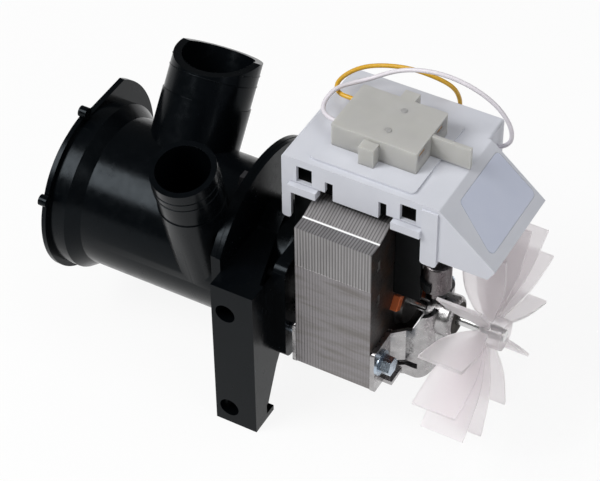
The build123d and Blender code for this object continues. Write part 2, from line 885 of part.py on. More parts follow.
def former_block():
    """Outside of the tube that the yoke passes through."""
    return block(stack_left_x - former_reach, stack_right_x + former_reach, bobbin_front_y, bobbin_back_y,
                 former_z0, former_z1)


def protector_cradle():
    """Half collar on the bobbin's side that holds the thermal protector."""
    z0 = protector_bottom_z + cradle_rise
    z1 = z0 + cradle_height
    x = bobbin_x1 + protector_reach
    collar = rod_z(protector_radius + cradle_wall, z0, z1, x, protector_y)
    collar += block(bobbin_x1 - cradle_wall, x, bobbin_front_y, protector_y + cradle_wall, z0, z1)
    collar -= block(x, x + protector_radius + cradle_wall + overrun, protector_y - 2 * protector_radius,
                    protector_y + 2 * protector_radius, z0 - overrun, z1 + overrun)
    return collar - rod_z(protector_radius, z0 - overrun, z1 + overrun, x, protector_y)


def coil_bobbin():
    bobbin = former_block()
    for start in (bobbin_front_y, bobbin_back_y - bobbin_flange):
        bobbin += round_bar_y(bobbin_x0, bobbin_x1, bobbin_bottom_z, bobbin_top_z,
                              start, start + bobbin_flange, bobbin_corner_radius)
    bobbin += protector_cradle()
    for pin in coil_pin_solids():
        bobbin -= pin
    return bobbin - block(stack_left_x - bobbin_clearance, stack_right_x + bobbin_clearance,
                          bobbin_front_y - overrun, bobbin_back_y + overrun,
                          stator_top_z - bobbin_clearance, crown_z + bobbin_clearance)


def coil_band(grow):
    """Solid outside of the coil; grow swells it outward."""
    inset = winding_inset - grow
    gap = bobbin_flange + winding_gap
    return round_bar_y(bobbin_x0 + inset, bobbin_x1 - inset, bobbin_bottom_z + inset, bobbin_top_z - inset,
                       bobbin_front_y + gap, bobbin_back_y - gap, coil_corner_radius + grow)


def coil_winding():
    return coil_band(0) - former_block()


def coil_tape():
    return coil_band(tape_thickness) - coil_band(0)


def coil_pin_solids():
    """Blade terminals set in the back flange of the bobbin."""
    pins = []
    root_y = bobbin_back_y - coil_pin_root
    top_z = bobbin_top_z - coil_pin_width / 2
    for side in (-1, 1):
        x = stack_mid_x + side * coil_pin_pitch / 2
        pins.append(block(x - coil_pin_width / 2, x + coil_pin_width / 2, root_y,
                          bobbin_back_y + coil_pin_length, top_z - coil_pin_thickness, top_z))
    return pins


def coil_pins():
    return group(coil_pin_solids())


def thermal_protector():
    """Small round can with two leads below it."""
    x = bobbin_x1 + protector_reach
    top_z = protector_bottom_z + protector_height
    can = rod_z(protector_radius, protector_bottom_z, top_z, x, protector_y)
    can = fillet(can.edges().filter_by(GeomType.CIRCLE), protector_edge_round)
    for side in (-1, 1):
        lead_y = protector_y + side * protector_radius / 2
        can += rod_z(protector_lead_radius, protector_bottom_z - protector_lead_length,
                     protector_bottom_z + overrun, x, lead_y)
    return can


# Bearing brackets

def cup_outline(inset):
    """Plan of the rear cup: wide at the feet, drawn in to the narrower front."""
    wide = cup_foot_half_width - inset
    narrow = cup_half_width - inset
    foot_x = stack_right_x + sheet
    narrow_x = foot_x + cup_draft_length
    face_x = cup_face_x - inset
    start_x = stack_right_x - (overrun if inset else 0)
    return [
        (start_x, shaft_y - wide), (foot_x, shaft_y - wide), (narrow_x, shaft_y - narrow),
        (face_x, shaft_y - narrow), (face_x, shaft_y + narrow), (narrow_x, shaft_y + narrow),
        (foot_x, shaft_y + wide), (start_x, shaft_y + wide),
    ]


def cup_solid(inset):
    """Outside of the rear cup, or its hollow when inset by the sheet's thickness."""
    tall = prism_z(cup_outline(inset), shaft_z - 2 * cup_radius, shaft_z + 2 * cup_radius)
    cup = tall & rod_x(cup_radius - inset, stack_right_x - overrun, cup_face_x)
    front = cup.faces().sort_by(Axis.X)[-1]
    return fillet(front.edges(), cup_round - inset)


def cup_trim():
    """Everything above the cup's walls, which step up toward the front."""
    left_x = stack_right_x - overrun
    shoulder_x = stack_right_x + sheet + cup_shoulder_length
    ramp_x = stack_right_x + cup_ramp_length
    right_x = cup_face_x + overrun
    high_z = shaft_z + 2 * cup_radius
    return prism_y([
        (left_x, foot_top_z), (stack_right_x + sheet, foot_top_z), (shoulder_x, cup_shoulder_z),
        (ramp_x, cup_top_z), (right_x, cup_top_z), (right_x, high_z), (left_x, high_z),
    ], shaft_y - 2 * cup_radius, shaft_y + 2 * cup_radius)


def rear_feet():
    """Foot plates on the stack's end, with a turned lip below each."""
    foot_x = stack_right_x + sheet
    feet = round_bar_x(stack_front_y, stack_back_y, foot_bottom_z, foot_top_z, stack_right_x, foot_x, sheet)
    lip_bottom = foot_bottom_z
    for start, end in ((stack_front_y + foot_lip_depth, shaft_y - cup_half_width),
                       (shaft_y + cup_half_width, stack_back_y - foot_lip_depth)):
        feet += block(stack_right_x, foot_x + foot_lip_length, start, end, lip_bottom, lip_bottom + sheet)
    return feet


def rear_bracket():
    foot_x = stack_right_x + sheet
    bush_end_x = boss_end_x - felt_length
    boss = rod_x(rear_boss_radius, bush_end_x - bush_length, boss_end_x)
    boss = fillet(boss.edges().sort_by(Axis.X)[-1], rear_boss_round)
    bracket = cup_solid(0) + rear_feet()
    bracket -= cup_solid(sheet)
    bracket -= cup_trim()
    bracket += boss
    bracket -= rod_x(bush_radius, stack_right_x, bush_end_x)
    bracket -= rod_x(felt_radius, bush_end_x, boss_end_x + overrun)
    slot_x = foot_x + cup_slot_start
    bracket -= block(slot_x, slot_x + cup_slot_length, shaft_y - cup_foot_half_width - overrun,
                     shaft_y - cup_half_width + sheet + overrun, cup_slot_z, cup_slot_z + cup_slot_height)
    for y, z in stack_bolt_places():
        bracket -= rod_x(stack_bolt_radius + stack_bolt_clearance, stack_right_x - overrun,
                         foot_x + overrun, y, z)
    return bracket


def front_bracket():
    """Strap against the stack with a shallow drum and the front bearing boss."""
    strap_x = stack_left_x - front_sheet
    bracket = round_bar_x(stack_front_y, stack_back_y, foot_bottom_z, foot_top_z, strap_x, stack_left_x,
                          sheet)
    bracket += rod_x(front_cup_radius, front_cup_x, stack_left_x)
    bracket -= rod_x(front_cup_radius - front_sheet, front_cup_x + front_sheet, stack_left_x + overrun)
    bracket += rod_x(front_boss_radius, front_boss_x, front_cup_x + front_sheet)
    bracket -= rod_x(bush_radius, front_boss_x - overrun, stack_left_x)
    bracket -= block(front_boss_x, stack_left_x + overrun, shaft_y - front_cup_radius - overrun,
                     shaft_y + front_cup_radius + overrun, front_cup_top_z, shaft_z + 2 * front_cup_radius)
    for y, z in stack_bolt_places():
        bracket -= rod_x(stack_bolt_radius + stack_bolt_clearance, strap_x - overrun,
                         stack_left_x + overrun, y, z)
    return bracket


def front_bush():
    return tube_x(bush_radius, shaft_radius + running_gap, front_boss_x, front_boss_x + bush_length)


def rear_bush():
    end = boss_end_x - felt_length
    return tube_x(bush_radius, shaft_radius + running_gap, end - bush_length, end)


def rear_felt():
    return tube_x(felt_radius, shaft_radius + body_gap, boss_end_x - felt_length, boss_end_x)


def stack_bolts():
    """Hex flange bolts through the bracket and the stack into the carrier's plate."""
    bolts = []
    face = stack_right_x + sheet
    for y, z in stack_bolt_places():
        bolt = rod_x(stack_bolt_radius, leg_right_x, face, y, z)
        bolt += rod_x(bolt_flange_radius, face, face + bolt_flange_thickness, y, z)
        bolt += hex_rod_x(bolt_head_radius, face + bolt_flange_thickness,
                          face + bolt_flange_thickness + bolt_head_height, y, z)
        bolts.append(bolt)
    return group(bolts)


# Fan

def fan_vane():
    """Flat vane in the plane of the shaft: straight tip, curved edges, root in the hub."""
    root_x = fan_hub_x + fan_root_length
    near = [(fan_left_x, 0, fan_radius)]
    near += [(fan_left_x + depth, 0, radius) for radius, depth in zip(fan_edge_radii, fan_near_depths)]
    near += [(fan_hub_x, 0, fan_root_radius)]
    far = [(root_x, 0, fan_root_radius)]
    far += [(fan_right_x - depth, 0, radius)
            for radius, depth in reversed(list(zip(fan_edge_radii, fan_far_depths)))]
    far += [(fan_right_x, 0, fan_radius)]
    edges = [Spline(*near), Line(near[-1], far[0]), Spline(*far), Line(far[-1], near[0])]
    vane = extrude(make_face(edges), fan_vane_thickness / 2, dir=(0, 1, 0), both=True)
    return Pos(0, shaft_y, shaft_z) * vane


def cooling_fan():
    fan = rod_x(fan_hub_radius, fan_hub_x, fan_hub_x + fan_hub_length)
    vane = fan_vane()
    for index in range(fan_vane_count):
        fan += turn_about_shaft(vane, fan_first_angle + index * 360 / fan_vane_count)
    return fan - rod_x(shaft_radius, fan_left_x, shaft_right_x)


# Terminal cover

crease_x = cover_right_x + hood_crease_reach
hood_back_y = cover_front_y + hood_depth
slope_run = hood_reach - hood_crease_reach
slope_angle = atan2(hood_drop, slope_run)
slope_length = hypot(hood_drop, slope_run)
slope_plane = Plane(origin=(crease_x, cover_front_y, cover_top_z), x_dir=(0, 1, 0),
                    z_dir=(sin(slope_angle), 0, cos(slope_angle)))


def hood_profile(inset):
    """Outline of the hood in (x, z); inset draws it in by the wall, open below."""
    edge_x = cover_right_x + hood_reach
    edge_z = cover_top_z - hood_drop
    lip_x = edge_x - hood_lip_inset
    skirt_z = cover_top_z - skirt_height
    crease_shift = inset * tan(slope_angle / 2)
    side_shift = inset / sin(slope_angle)
    left_x = cover_right_x - cover_wall - (overrun if inset else 0)
    low_z = skirt_z - (overrun if inset else 0)
    return [
        (left_x, low_z), (left_x, cover_top_z - inset), (crease_x - crease_shift, cover_top_z - inset),
        (edge_x - side_shift, edge_z), (lip_x - side_shift, low_z),
    ]


def cover_shell():
    """Box with a hood; walls of different heights hang from its top."""
    left, right, front, back, top = cover_left_x, cover_right_x, cover_front_y, cover_back_y, cover_top_z
    wall = cover_wall
    shell = block(left, right, front, back, top - wall, top)
    shell += block(left, right, front, front + wall, top - front_wall_height, top)
    shell += block(left, left + wall, front, back, top - side_wall_height, top)
    shell += block(left, right, back - wall, back, top - back_wall_height, top)
    shell += block(right - wall, right, hood_back_y - wall, back, top - back_wall_height, top)
    shell += prism_y(hood_profile(0), front, hood_back_y)
    shell = fillet(shell.edges().filter_by(Axis.Y).group_by(Axis.Z)[-1], cover_edge_round)
    shell -= prism_y(hood_profile(wall), front + wall, hood_back_y - wall)
    open_z = top - hood_drop - hood_lip_height
    return shell - block(right, right + hood_reach + overrun, front + wall, hood_back_y - wall,
                         top - skirt_height - overrun, open_z)


def cover_legs():
    """Two long legs at the front corners, rounded at their ends."""
    top = cover_top_z
    front = cover_front_y
    right_x = cover_right_x + skirt_step
    legs = block(right_x - right_leg_width, right_x, front - skirt_step, front + cover_wall,
                 top - right_leg_height, top - cover_wall)
    legs += block(cover_left_x, cover_left_x + left_leg_width, front, front + cover_wall,
                  top - left_leg_height, top - cover_wall)
    low = legs.edges().filter_by(Axis.Y).sort_by(Axis.Z)[:4]
    return fillet(low, leg_end_round)


def front_wall_parts():
    """Latches and the middle tongue that hang on the front wall."""
    top = cover_top_z
    parts = []
    for offset in latch_offsets:
        x = cover_left_x + offset
        parts.append(block(x, x + latch_width, cover_front_y - latch_depth, cover_front_y + cover_wall,
                           top - latch_drop - latch_height, top - latch_drop))
    x = cover_left_x + tongue_from_left
    parts.append(block(x, x + tongue_width, cover_front_y, cover_front_y + cover_wall,
                       top - front_wall_height - tongue_drop, top - front_wall_height))
    return parts


def front_wall_cuts():
    """Slots beside the tongue and the two square windows."""
    top = cover_top_z
    y0 = cover_front_y - overrun
    y1 = cover_front_y + cover_wall + overrun
    tongue_x = cover_left_x + tongue_from_left
    low = top - front_wall_height - overrun
    cuts = [block(x, x + slot_width, y0, y1, low, top - front_wall_height + slot_height)
            for x in (tongue_x - slot_width, tongue_x + tongue_width)]
    for offset in window_offsets:
        x = cover_left_x + offset
        cuts.append(block(x, x + window_width, y0, y1, top - window_drop - window_height, top - window_drop))
    return cuts


def cover_ribs():
    """Inside ribs that stand on the bobbin's flanges."""
    x0 = cover_left_x + cover_rib_inset
    x1 = cover_right_x - cover_rib_inset
    ribs = []
    for y in (bobbin_front_y, bobbin_back_y - bobbin_flange):
        ribs.append(block(x0, x1, y, y + bobbin_flange, bobbin_top_z, cover_top_z - cover_wall))
    return ribs


def cover_pad():
    """Raised field on the cover's top that carries the plug housing."""
    x = cover_left_x + pad_from_left
    y = cover_front_y + pad_from_front
    place = Pos(x + pad_length / 2, y + pad_depth / 2, cover_top_z)
    return extrude(place * RectangleRounded(pad_length, pad_depth, pad_corner_radius), pad_height)


def label_outline(grow):
    """Label's face on the slope, in the slope's own plane; grow widens it all round."""
    corners = [
        (label_front_top_gap - grow, grow - label_top_gap),
        (hood_depth - label_back_gap + grow, grow - label_top_gap),
        (hood_depth - label_back_gap + grow, label_bottom_gap - slope_length - grow),
        (label_front_bottom_gap - grow, label_bottom_gap - slope_length - grow),
    ]
    face = make_face(Polyline(*corners, close=True))
    return slope_plane * fillet(face.vertices(), label_corner_radius)


def rating_label():
    place = Pos(*(slope_plane.z_dir * -label_thickness))
    return place * extrude(label_outline(0), label_thickness)


def terminal_cover():
    cover = cover_shell() + cover_legs()
    for piece in front_wall_parts() + cover_ribs() + [cover_pad()]:
        cover += piece
    for cut in front_wall_cuts():
        cover -= cut
    cover -= extrude(label_outline(slip_gap), -label_thickness)
    for route in (yellow_route, white_route):
        cover -= wire_solid(route)
    return cover


# Plug housing and its terminals

plug_left_x = cover_left_x + plug_from_left
plug_right_x = plug_left_x + plug_base_length
plug_bottom_z = cover_top_z + pad_height
plug_top_z = plug_bottom_z + plug_height
plug_slot_z = plug_bottom_z + plug_slot_floor
terminal_z = plug_slot_z + plug_slot_height / 2


def plug_lugs():
    front = plug_front_y
    back = front + plug_depth
    x0 = plug_left_x + front_lug_offset
    x1 = plug_left_x + back_lug_offset
    return [
        block(x0, x0 + lug_length, front - lug_depth, front + lug_depth, plug_bottom_z,
              plug_bottom_z + front_lug_height),
        block(x1, x1 + lug_length, back - lug_depth, back + lug_depth, plug_bottom_z, plug_top_z),
    ]


def plug_housing():
    housing = block(plug_left_x, plug_right_x, plug_front_y, plug_front_y + plug_depth,
                    plug_bottom_z, plug_top_z)
    housing = fillet(housing.edges().filter_by(Axis.Z), plug_edge_round)
    for lug in plug_lugs():
        housing += lug
    tab_y = plug_front_y + plug_tab_offset
    housing += block(plug_right_x - overrun, plug_right_x + plug_tab_length, tab_y,
                     tab_y + plug_tab_thickness, plug_bottom_z, plug_bottom_z + plug_tab_height)
    for offset in terminal_offsets:
        y = plug_front_y + offset
        housing -= block(plug_left_x + plug_back_wall, plug_right_x + overrun, y - plug_slot_width / 2,
                         y + plug_slot_width / 2, plug_slot_z, plug_slot_z + plug_slot_height)
    for route in (yellow_route, white_route):
        housing -= wire_solid(route)
    return housing


def receptacle(offset):
    """Flat push-on sleeve, rolled at both sides, with a crimp round its wire."""
    y = plug_front_y + offset
    end = plug_right_x - receptacle_inset
    start = end - receptacle_length
    bottom = plug_slot_z
    sleeve = block(start, end, y - receptacle_width / 2, y + receptacle_width / 2, bottom,
                   bottom + receptacle_height)
    sleeve -= block(start - overrun, end + overrun, y - receptacle_width / 2 + receptacle_sheet,
                    y + receptacle_width / 2 - receptacle_sheet, bottom + receptacle_sheet,
                    bottom + receptacle_height - receptacle_sheet)
    crimp = rod_x(crimp_radius, plug_left_x + wire_end_inset, start + receptacle_sheet, y, terminal_z)
    return sleeve + crimp


def plug_terminals():
    return group([receptacle(offset) for offset in terminal_offsets])


# Wires

def corner_radii(route):
    """Radius of the arc at each inner corner of a route."""
    radii = []
    for before, corner, after in zip(route, route[1:], route[2:]):
        run_in = Vector(*corner) - Vector(*before)
        run_out = Vector(*after) - Vector(*corner)
        half_turn = radians(run_in.get_angle(run_out) / 2)
        arc_share = 0.45
        radii.append(arc_share * min(run_in.length, run_out.length) / tan(half_turn))
    return radii


def wire_solid(route):
    path = FilletPolyline(*route, radius=corner_radii(route))
    section = Plane(origin=path @ 0, z_dir=path % 0) * Circle(wire_diameter / 2)
    return sweep(section, path)


def yellow_wire():
    return wire_solid(yellow_route)


def white_wire():
    return wire_solid(white_route)


nodes = (
    pump_body, volute_seal, filter_cap, cap_seal, filter_basket, joint_screws, motor_carrier,
    shaft_seal, impeller, shaft, shaft_circlip, shaft_washers, rotor_core, cooling_fan,
    stator_core, yoke_core, shading_rings, coil_bobbin, coil_winding, coil_tape, coil_pins, thermal_protector,
    front_bracket, rear_bracket, front_bush, rear_bush, rear_felt, stack_bolts,
    terminal_cover, rating_label, plug_housing, plug_terminals, yellow_wire, white_wire,
)

for node in nodes:
    solid = node()
    box = solid.bounding_box()
    print(node.__name__, len(solid.solids()), round(solid.volume),
          [round(v, 1) for v in (*box.min, *box.max)])
    export_step(solid, f"parts/{node.__name__}.step")
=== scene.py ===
"""Looks of the washer drain pump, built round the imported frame. Lengths are in metres."""
import json
from math import cos, pi, radians, sin

import bmesh
import bpy
from mathutils import Matrix, Vector


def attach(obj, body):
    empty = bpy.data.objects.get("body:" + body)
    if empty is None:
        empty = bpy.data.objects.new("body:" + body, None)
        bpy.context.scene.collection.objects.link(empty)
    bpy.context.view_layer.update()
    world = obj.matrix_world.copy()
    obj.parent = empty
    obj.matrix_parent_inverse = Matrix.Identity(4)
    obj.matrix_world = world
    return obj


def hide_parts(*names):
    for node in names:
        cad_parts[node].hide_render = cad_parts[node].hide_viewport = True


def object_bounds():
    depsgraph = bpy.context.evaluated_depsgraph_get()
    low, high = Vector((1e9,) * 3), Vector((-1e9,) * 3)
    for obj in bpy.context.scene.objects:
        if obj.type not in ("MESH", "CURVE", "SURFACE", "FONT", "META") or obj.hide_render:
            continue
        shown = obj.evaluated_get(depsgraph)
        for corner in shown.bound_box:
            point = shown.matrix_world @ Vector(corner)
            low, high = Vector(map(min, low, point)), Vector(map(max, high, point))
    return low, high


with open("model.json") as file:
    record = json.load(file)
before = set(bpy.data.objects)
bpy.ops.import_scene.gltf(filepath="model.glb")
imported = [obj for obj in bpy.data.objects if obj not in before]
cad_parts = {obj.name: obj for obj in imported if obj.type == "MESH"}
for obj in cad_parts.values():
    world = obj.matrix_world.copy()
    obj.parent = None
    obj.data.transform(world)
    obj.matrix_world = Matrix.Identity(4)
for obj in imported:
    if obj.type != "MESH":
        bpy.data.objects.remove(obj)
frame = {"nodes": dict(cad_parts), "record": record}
cad_low, cad_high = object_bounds()
nodes = frame["nodes"]
mounts = {mount["name"]: mount for mount in frame["record"]["mounts"]}
scene = bpy.context.scene
mm = 0.001


# Camera at the photograph's place: its angles in degrees, its lens and sensor in millimetres

camera_place = Vector((0.32342, -0.50962, 0.64752))
camera_turn = 29.55
camera_tilt = 43.9
camera_roll = -0.75
camera_lens = 131.25
sensor_width = 36.0
clip_start, clip_end = 0.05, 20.0


def camera_axes():
    """Right, up and ahead directions after the camera's turn, downward tilt and roll."""
    turn, tilt, roll = radians(camera_turn), radians(camera_tilt), radians(camera_roll)
    level = Vector((cos(turn), sin(turn), 0))
    ahead = Vector((-sin(turn) * cos(tilt), cos(turn) * cos(tilt), -sin(tilt)))
    above = level.cross(ahead)
    right = cos(roll) * level + sin(roll) * above
    up = cos(roll) * above - sin(roll) * level
    return right, up, ahead


def place_camera():
    """The camera object, aimed and made the scene's own."""
    data = bpy.data.cameras.new("camera")
    data.sensor_width = sensor_width
    data.lens = camera_lens
    data.clip_start = clip_start
    data.clip_end = clip_end
    camera = bpy.data.objects.new("camera", data)
    scene.collection.objects.link(camera)
    right, up, ahead = camera_axes()
    aim = Matrix((right, up, -ahead)).transposed()
    camera.matrix_world = Matrix.Translation(camera_place) @ aim.to_4x4()
    scene.camera = camera


place_camera()


# Wires: routes in millimetres from the connector to the cover's back edge

yellow_route = [
    (27.6, 64.0, 100.2), (21.6, 64.0, 100.2), (15.6, 64.8, 99.7), (12.0, 69.8, 99.5), (13.2, 76.2, 100.3),
    (17.6, 81.2, 101.8), (24.6, 84.3, 103.2), (34.8, 86.4, 104.4), (45.2, 87.6, 103.4), (52.6, 90.8, 98.8),
    (54.4, 94.0, 91.2), (54.4, 94.6, 84.5), (54.4, 91.8, 79.2), (54.4, 88.2, 76.4),
]
white_route = [
    (27.6, 49.2, 100.2), (21.4, 49.2, 100.2), (15.8, 51.8, 100.1), (13.6, 57.2, 100.7), (14.8, 64.2, 102.5),
    (18.8, 70.4, 102.0), (25.0, 74.6, 103.6), (33.0, 77.0, 108.6), (41.6, 78.6, 111.8), (53.0, 80.0, 113.0),
    (65.2, 81.4, 110.2), (75.0, 82.8, 104.0), (80.7, 83.8, 95.8), (81.8, 84.4, 88.2), (78.8, 84.4, 83.2),
    (74.4, 84.4, 81.2),
]
yellow_length = 0.0934
white_length = 0.1218
wire_diameter = 1.8 * mm
wire_round_steps = 6
wire_run_steps = 10


def smooth_wire(name, route):
    """Round wire along a route, with its radius set at the route's points."""
    curve = bpy.data.curves.new(name, "CURVE")
    curve.dimensions = "3D"
    curve.bevel_depth = 1
    curve.bevel_resolution = wire_round_steps
    curve.use_fill_caps = True
    spline = curve.splines.new("NURBS")
    spline.points.add(len(route) - 1)
    for point, place in zip(spline.points, route):
        point.co = (place[0] * mm, place[1] * mm, place[2] * mm, 1)
        point.radius = wire_diameter / 2
    spline.order_u = 3
    spline.use_endpoint_u = True
    spline.resolution_u = wire_run_steps
    piece = bpy.data.objects.new(name, curve)
    scene.collection.objects.link(piece)
    return piece


yellow = smooth_wire("wire_yellow", yellow_route)
white = smooth_wire("wire_white", white_route)
for wire, route, node, length in ((yellow, yellow_route, "yellow_wire", yellow_length),
                                  (white, white_route, "white_wire", white_length)):
    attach(wire, "pump")
    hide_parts(node)


# Materials

# Places of the colour sockets on Blender's Mix node
mix_first, mix_second, mix_result = 6, 7, 2

# Noise stays mostly between these two values
cloud_low, cloud_high = 0.3, 0.7


class Shade:
    """A Principled material and the few node shapes that the finishes share."""

    def __init__(self, name, **sockets):
        self.material = bpy.data.materials.new(name)
        self.material.use_nodes = True
        self.tree = self.material.node_tree
        self.surface = self.tree.nodes["Principled BSDF"]
        for socket, value in sockets.items():
            self.surface.inputs[socket.replace("_", " ")].default_value = value
        self.place = self.tree.nodes.new("ShaderNodeTexCoord").outputs["Object"]
        self.last_normal = None

    def link(self, source, target):
        self.tree.links.new(source, target)

    def stretched(self, scale):
        node = self.tree.nodes.new("ShaderNodeMapping")
        node.inputs["Scale"].default_value = scale
        self.link(self.place, node.inputs["Vector"])
        return node.outputs["Vector"]

    def noise(self, size, detail=3.0, stretch=(1, 1, 1)):
        """Cloudy values about the given size in metres."""
        node = self.tree.nodes.new("ShaderNodeTexNoise")
        node.inputs["Scale"].default_value = 1 / size
        node.inputs["Detail"].default_value = detail
        self.link(self.stretched(stretch), node.inputs["Vector"])
        return node.outputs["Fac"]

    def parts_of(self, vector):
        node = self.tree.nodes.new("ShaderNodeSeparateXYZ")
        self.link(vector, node.inputs[0])
        return node.outputs

    def facing(self):
        """The true direction that the surface faces."""
        return self.tree.nodes.new("ShaderNodeNewGeometry").outputs["Normal"]

    def calculate(self, operation, first, second=None):
        node = self.tree.nodes.new("ShaderNodeMath")
        node.operation = operation
        for socket, value in zip(node.inputs, (first, second)):
            if isinstance(value, bpy.types.NodeSocket):
                self.link(value, socket)
            elif value is not None:
                socket.default_value = value
        return node.outputs[0]

    def distance(self, value, middle):
        return self.calculate("ABSOLUTE", self.calculate("SUBTRACT", value, middle))

    def spread(self, value, low, high, to_low=0.0, to_high=1.0):
        node = self.tree.nodes.new("ShaderNodeMapRange")
        node.inputs["From Min"].default_value = low
        node.inputs["From Max"].default_value = high
        node.inputs["To Min"].default_value = to_low
        node.inputs["To Max"].default_value = to_high
        self.link(value, node.inputs["Value"])
        return node.outputs[0]

    def colours(self, value, first, second):
        node = self.tree.nodes.new("ShaderNodeMix")
        node.data_type = "RGBA"
        self.link(value, node.inputs["Factor"])
        for socket, colour in ((node.inputs[mix_first], first), (node.inputs[mix_second], second)):
            if isinstance(colour, bpy.types.NodeSocket):
                self.link(colour, socket)
            else:
                socket.default_value = (*colour, 1)
        return node.outputs[mix_result]

    def colour(self, output):
        self.link(output, self.surface.inputs["Base Color"])

    def roughness(self, cloud, low, high):
        """Roughness from low to high over the middle values of a cloud."""
        level = self.spread(cloud, cloud_low, cloud_high, low, high)
        self.link(level, self.surface.inputs["Roughness"])

    def relief(self, height, distance):
        """Adds a bump whose full height is distance in metres."""
        node = self.tree.nodes.new("ShaderNodeBump")
        node.inputs["Distance"].default_value = distance
        self.link(height, node.inputs["Height"])
        if self.last_normal:
            self.link(self.last_normal, node.inputs["Normal"])
        self.last_normal = node.outputs["Normal"]
        self.link(self.last_normal, self.surface.inputs["Normal"])


def moulded(name, dark, light, rough, grain=0.35 * mm, depth=0.006 * mm, **sockets):
    """Moulded plastic: faint cloudy tone, fine grain and uneven gloss."""
    tone_size, gloss_size, gloss_spread = 9 * mm, 3 * mm, 0.06
    shade = Shade(name, **sockets)
    shade.colour(shade.colours(shade.noise(tone_size, detail=4), dark, light))
    shade.roughness(shade.noise(gloss_size, detail=5), rough - gloss_spread, rough + gloss_spread)
    shade.relief(shade.noise(grain, detail=4), depth)
    return shade


def metal(name, dark, light, rough, stretch=(1, 1, 1), grain=0.5 * mm, depth=0.003 * mm):
    """Bare metal with fine marks, closer together along an axis with a larger stretch."""
    tone_size, gloss_spread = 4 * mm, 0.1
    shade = Shade(name, Metallic=1.0)
    shade.colour(shade.colours(shade.noise(tone_size, detail=5), dark, light))
    shade.roughness(shade.noise(grain, 4, stretch), rough - gloss_spread, rough + gloss_spread)
    shade.relief(shade.noise(grain, 3, stretch), depth)
    return shade


def pressed(name):
    """Bright pressed sheet with broad dents that break its reflections, and a fine grain along X."""
    dark, light = (0.27, 0.26, 0.265), (0.55, 0.54, 0.54)
    smoothest, roughest = 0.20, 0.40
    tone_size, gloss_size = 5 * mm, 2 * mm
    dent_size, dent_depth = 6 * mm, 0.5 * mm
    grain_size, grain_depth, grain_stretch = 0.6 * mm, 0.004 * mm, (0.3, 1, 1)
    shade = Shade(name, Metallic=1.0)
    shade.colour(shade.colours(shade.noise(tone_size, detail=5), dark, light))
    shade.roughness(shade.noise(gloss_size, detail=4), smoothest, roughest)
    shade.relief(shade.noise(dent_size, detail=2), dent_depth)
    shade.relief(shade.noise(grain_size, 3, grain_stretch), grain_depth)
    return shade


# The lamination stack, whose sheets lie side by side along X

sheet_pitch = 1.28 * mm
first_sheet_x = 22.85 * mm
gap_from, gap_full = 0.24, 0.44
gap_depth = 0.06 * mm
yoke_foot_z = 51.9 * mm
yoke_foot_blend = 0.1 * mm
crest_y = 22.75 * mm
crest_reach, crest_core = 0.55 * mm, 0.2 * mm
crest_low_z, crest_high_z = 70.5 * mm, 71.2 * mm
flat_from, flat_full = 0.6, 0.8


def sheet_lines(shade):
    """One at the gaps between the sheets and nought on the sheets."""
    along = shade.calculate("SUBTRACT", shade.parts_of(shade.place)["X"], first_sheet_x)
    wave = shade.calculate("FRACT", shade.calculate("DIVIDE", along, sheet_pitch))
    return shade.spread(shade.distance(wave, 0.5), gap_from, gap_full)


def yoke_edges(shade, lines):
    """Edges of the upper sheets: bright streaks and bold lines."""
    dark, bright, gap = (0.25, 0.24, 0.242), (0.38, 0.37, 0.373), (0.14, 0.136, 0.135)
    streak_size, streak_stretch = 1.3 * mm, (1, 0.12, 0.12)
    streaks = shade.noise(streak_size, 5, streak_stretch)
    return shade.colours(lines, shade.colours(streaks, dark, bright), gap)


def core_edges(shade, lines):
    """Edges of the lower sheets: dull stains and faint lines."""
    clean, stained, gap = (0.275, 0.262, 0.268), (0.205, 0.19, 0.185), (0.11, 0.105, 0.10)
    stain_size, stain_stretch = 5 * mm, (0.25, 0.25, 1.6)
    stain_from, stain_full, line_share = 0.42, 0.66, 0.25
    stains = shade.spread(shade.noise(stain_size, 5, stain_stretch), stain_from, stain_full)
    faint_lines = shade.calculate("MULTIPLY", lines, line_share)
    return shade.colours(faint_lines, shade.colours(stains, clean, stained), gap)


def sheet_edges(shade, lines):
    """The yoke's tone above its foot and the core's below it."""
    height = shade.parts_of(shade.place)["Z"]
    upper = shade.spread(height, yoke_foot_z, yoke_foot_z + yoke_foot_blend)
    return shade.colours(upper, core_edges(shade, lines), yoke_edges(shade, lines))


def shaded_outer_sheet(shade):
    """Flat face of the first and last sheet, painted dark as painted shade, with cloudy reddish patches."""
    # painted shade: the flat faces are painted far darker than the sheets' edges, with reddish cloudy
    # patches
    dark, reddish = (0.050, 0.046, 0.044), (0.085, 0.048, 0.032)
    patch_size, patch_from, patch_full = 8 * mm, 0.45, 0.7
    reddish_patches = shade.spread(shade.noise(patch_size, detail=4), patch_from, patch_full)
    return shade.colours(reddish_patches, dark, reddish)


def flatness(shade):
    """One on the two flat faces of the stack and nought on the sheets' edges."""
    facing = shade.parts_of(shade.facing())["X"]
    return shade.spread(shade.calculate("ABSOLUTE", facing), flat_from, flat_full)


def crest_highlight(shade, flat):
    """One along the painted highlight on the yoke's front crest and nought elsewhere."""
    place = shade.parts_of(shade.place)
    near = shade.spread(shade.distance(place["Y"], crest_y), crest_reach, crest_core)
    high = shade.spread(place["Z"], crest_low_z, crest_high_z)
    edge_on = shade.calculate("SUBTRACT", 1.0, flat)
    return shade.calculate("MULTIPLY", shade.calculate("MULTIPLY", near, high), edge_on)


